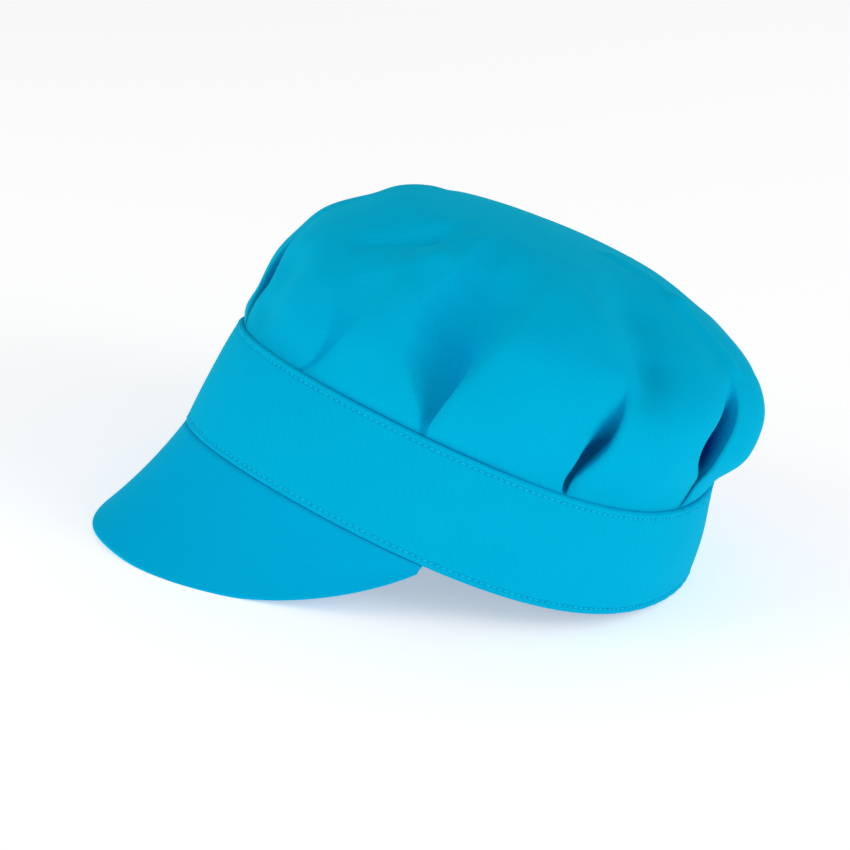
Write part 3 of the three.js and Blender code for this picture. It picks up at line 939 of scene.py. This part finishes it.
# %% Floor
FLOOR_HALF = 4
FLOOR_GLOW = 0.40
corners = [(-FLOOR_HALF, -FLOOR_HALF, 0), (FLOOR_HALF, -FLOOR_HALF, 0),
           (FLOOR_HALF, FLOOR_HALF, 0), (-FLOOR_HALF, FLOOR_HALF, 0)]
floor_mesh = bpy.data.meshes.new("floor")
floor_mesh.from_pydata(corners, [], [(0, 1, 2, 3)])
floor = bpy.data.objects.new("floor", floor_mesh)
bpy.context.scene.collection.objects.link(floor)
paper = bpy.data.materials.new("white_paper")
paper.use_nodes = True
paper_shader = paper.node_tree.nodes["Principled BSDF"]
paper_shader.inputs["Base Color"].default_value = (0.9, 0.9, 0.9, 1)
paper_shader.inputs["Roughness"].default_value = 0.9
paper_shader.inputs["Specular IOR Level"].default_value = 0.1
paper_shader.inputs["Emission Color"].default_value = (1, 1, 1, 1)
paper_shader.inputs["Emission Strength"].default_value = FLOOR_GLOW
floor_mesh.materials.append(paper)
print("floor:", 2 * FLOOR_HALF, "m wide")

# %% Lamps
ROOM_LIGHT = 0.44
LAMP_DISTANCE = 1.6
LAMP_SIZE = 1.0
LAMPS = [
    # name, azimuth and elevation in degrees, power in watts
    ("left_lamp", -5, 22, 5.2),
    ("low_left_lamp", 20, 5, 4.4),
    ("right_lamp", 125, 22, 7.8),
    ("back_lamp", 215, 35, 1.7),
    ("front_lamp", 58, 20, 1.4),
]
world = bpy.context.scene.world or bpy.data.worlds.new("studio")
bpy.context.scene.world = world
world.use_nodes = True
world.node_tree.nodes["Background"].inputs["Color"].default_value = (1, 1, 1, 1)
world.node_tree.nodes["Background"].inputs["Strength"].default_value = ROOM_LIGHT


def add_lamp(name, azimuth, elevation, power):
    """A square soft lamp that looks at the cap from a direction round it."""
    a, e = math.radians(azimuth), math.radians(elevation)
    back = Vector((math.sin(a) * math.cos(e), -math.cos(a) * math.cos(e), math.sin(e)))
    data = bpy.data.lights.new(name, "AREA")
    data.shape = "SQUARE"
    data.size = LAMP_SIZE
    data.energy = power
    lamp_object = bpy.data.objects.new(name, data)
    bpy.context.scene.collection.objects.link(lamp_object)
    lamp_object.location = Vector((0, 0, 0.06)) + back * LAMP_DISTANCE
    lamp_object.rotation_mode = "QUATERNION"
    lamp_object.rotation_quaternion = back.to_track_quat("Z", "Y")


for lamp in LAMPS:
    add_lamp(*lamp)
print("lamps:", [lamp[0] for lamp in LAMPS])

# %% [markdown]
# ## Camera
# The camera looks from the wearer's left and front, a little from above, and leans over, as
# the picture does. A long lens from over a metre away keeps the far side of the cap from
# shrinking. Blender could aim the camera with a constraint, but the lean is simpler to build
# from the camera's own three directions.

# %% Camera
CAMERA_AZIMUTH, CAMERA_ELEVATION, CAMERA_ROLL = 58.42, 18.12, 9.40
CAMERA_DISTANCE = 1.1256
CAMERA_AIM = Vector((0.0471, -0.0296, 0.0600))
LENS = 141.1
a, e, r = (math.radians(v) for v in (CAMERA_AZIMUTH, CAMERA_ELEVATION, CAMERA_ROLL))
back = Vector((math.sin(a) * math.cos(e), -math.cos(a) * math.cos(e), math.sin(e)))
level = Vector((math.cos(a), math.sin(a), 0))
right = level * math.cos(r) + back.cross(level) * math.sin(r)
camera = bpy.data.objects.new("camera", bpy.data.cameras.new("camera"))
bpy.context.scene.collection.objects.link(camera)
camera.data.lens = LENS
turn = Matrix((right, back.cross(right), back)).transposed().to_4x4()
camera.matrix_world = Matrix.Translation(CAMERA_AIM + back * CAMERA_DISTANCE) @ turn
bpy.context.scene.camera = camera
bpy.context.scene.view_settings.view_transform = "Standard"
print(f"camera {CAMERA_DISTANCE} m from its aim, lens {LENS} mm")

# %% [markdown]
# ## What each piece is
# Each piece of cloth takes the place of the imported node that it is made over, and that
# node is hidden. The stitches have no imported node of their own. Nothing here moves, so
# all of them ride on the root.

CLOTH_PIECES = [
    # piece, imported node, material
    (crown, "crown", "crown_cloth"),
    (band, "band", "band_cloth"),
    (peak, "peak", "peak_cloth"),
]
for piece, node, slot in CLOTH_PIECES:
    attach(piece, "root")
    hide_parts(node)
for row in stitches:
    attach(row, "root")
print("cloth pieces:", [piece.name for piece, node, slot in CLOTH_PIECES])

# %% Update the scene
bpy.context.view_layer.update()
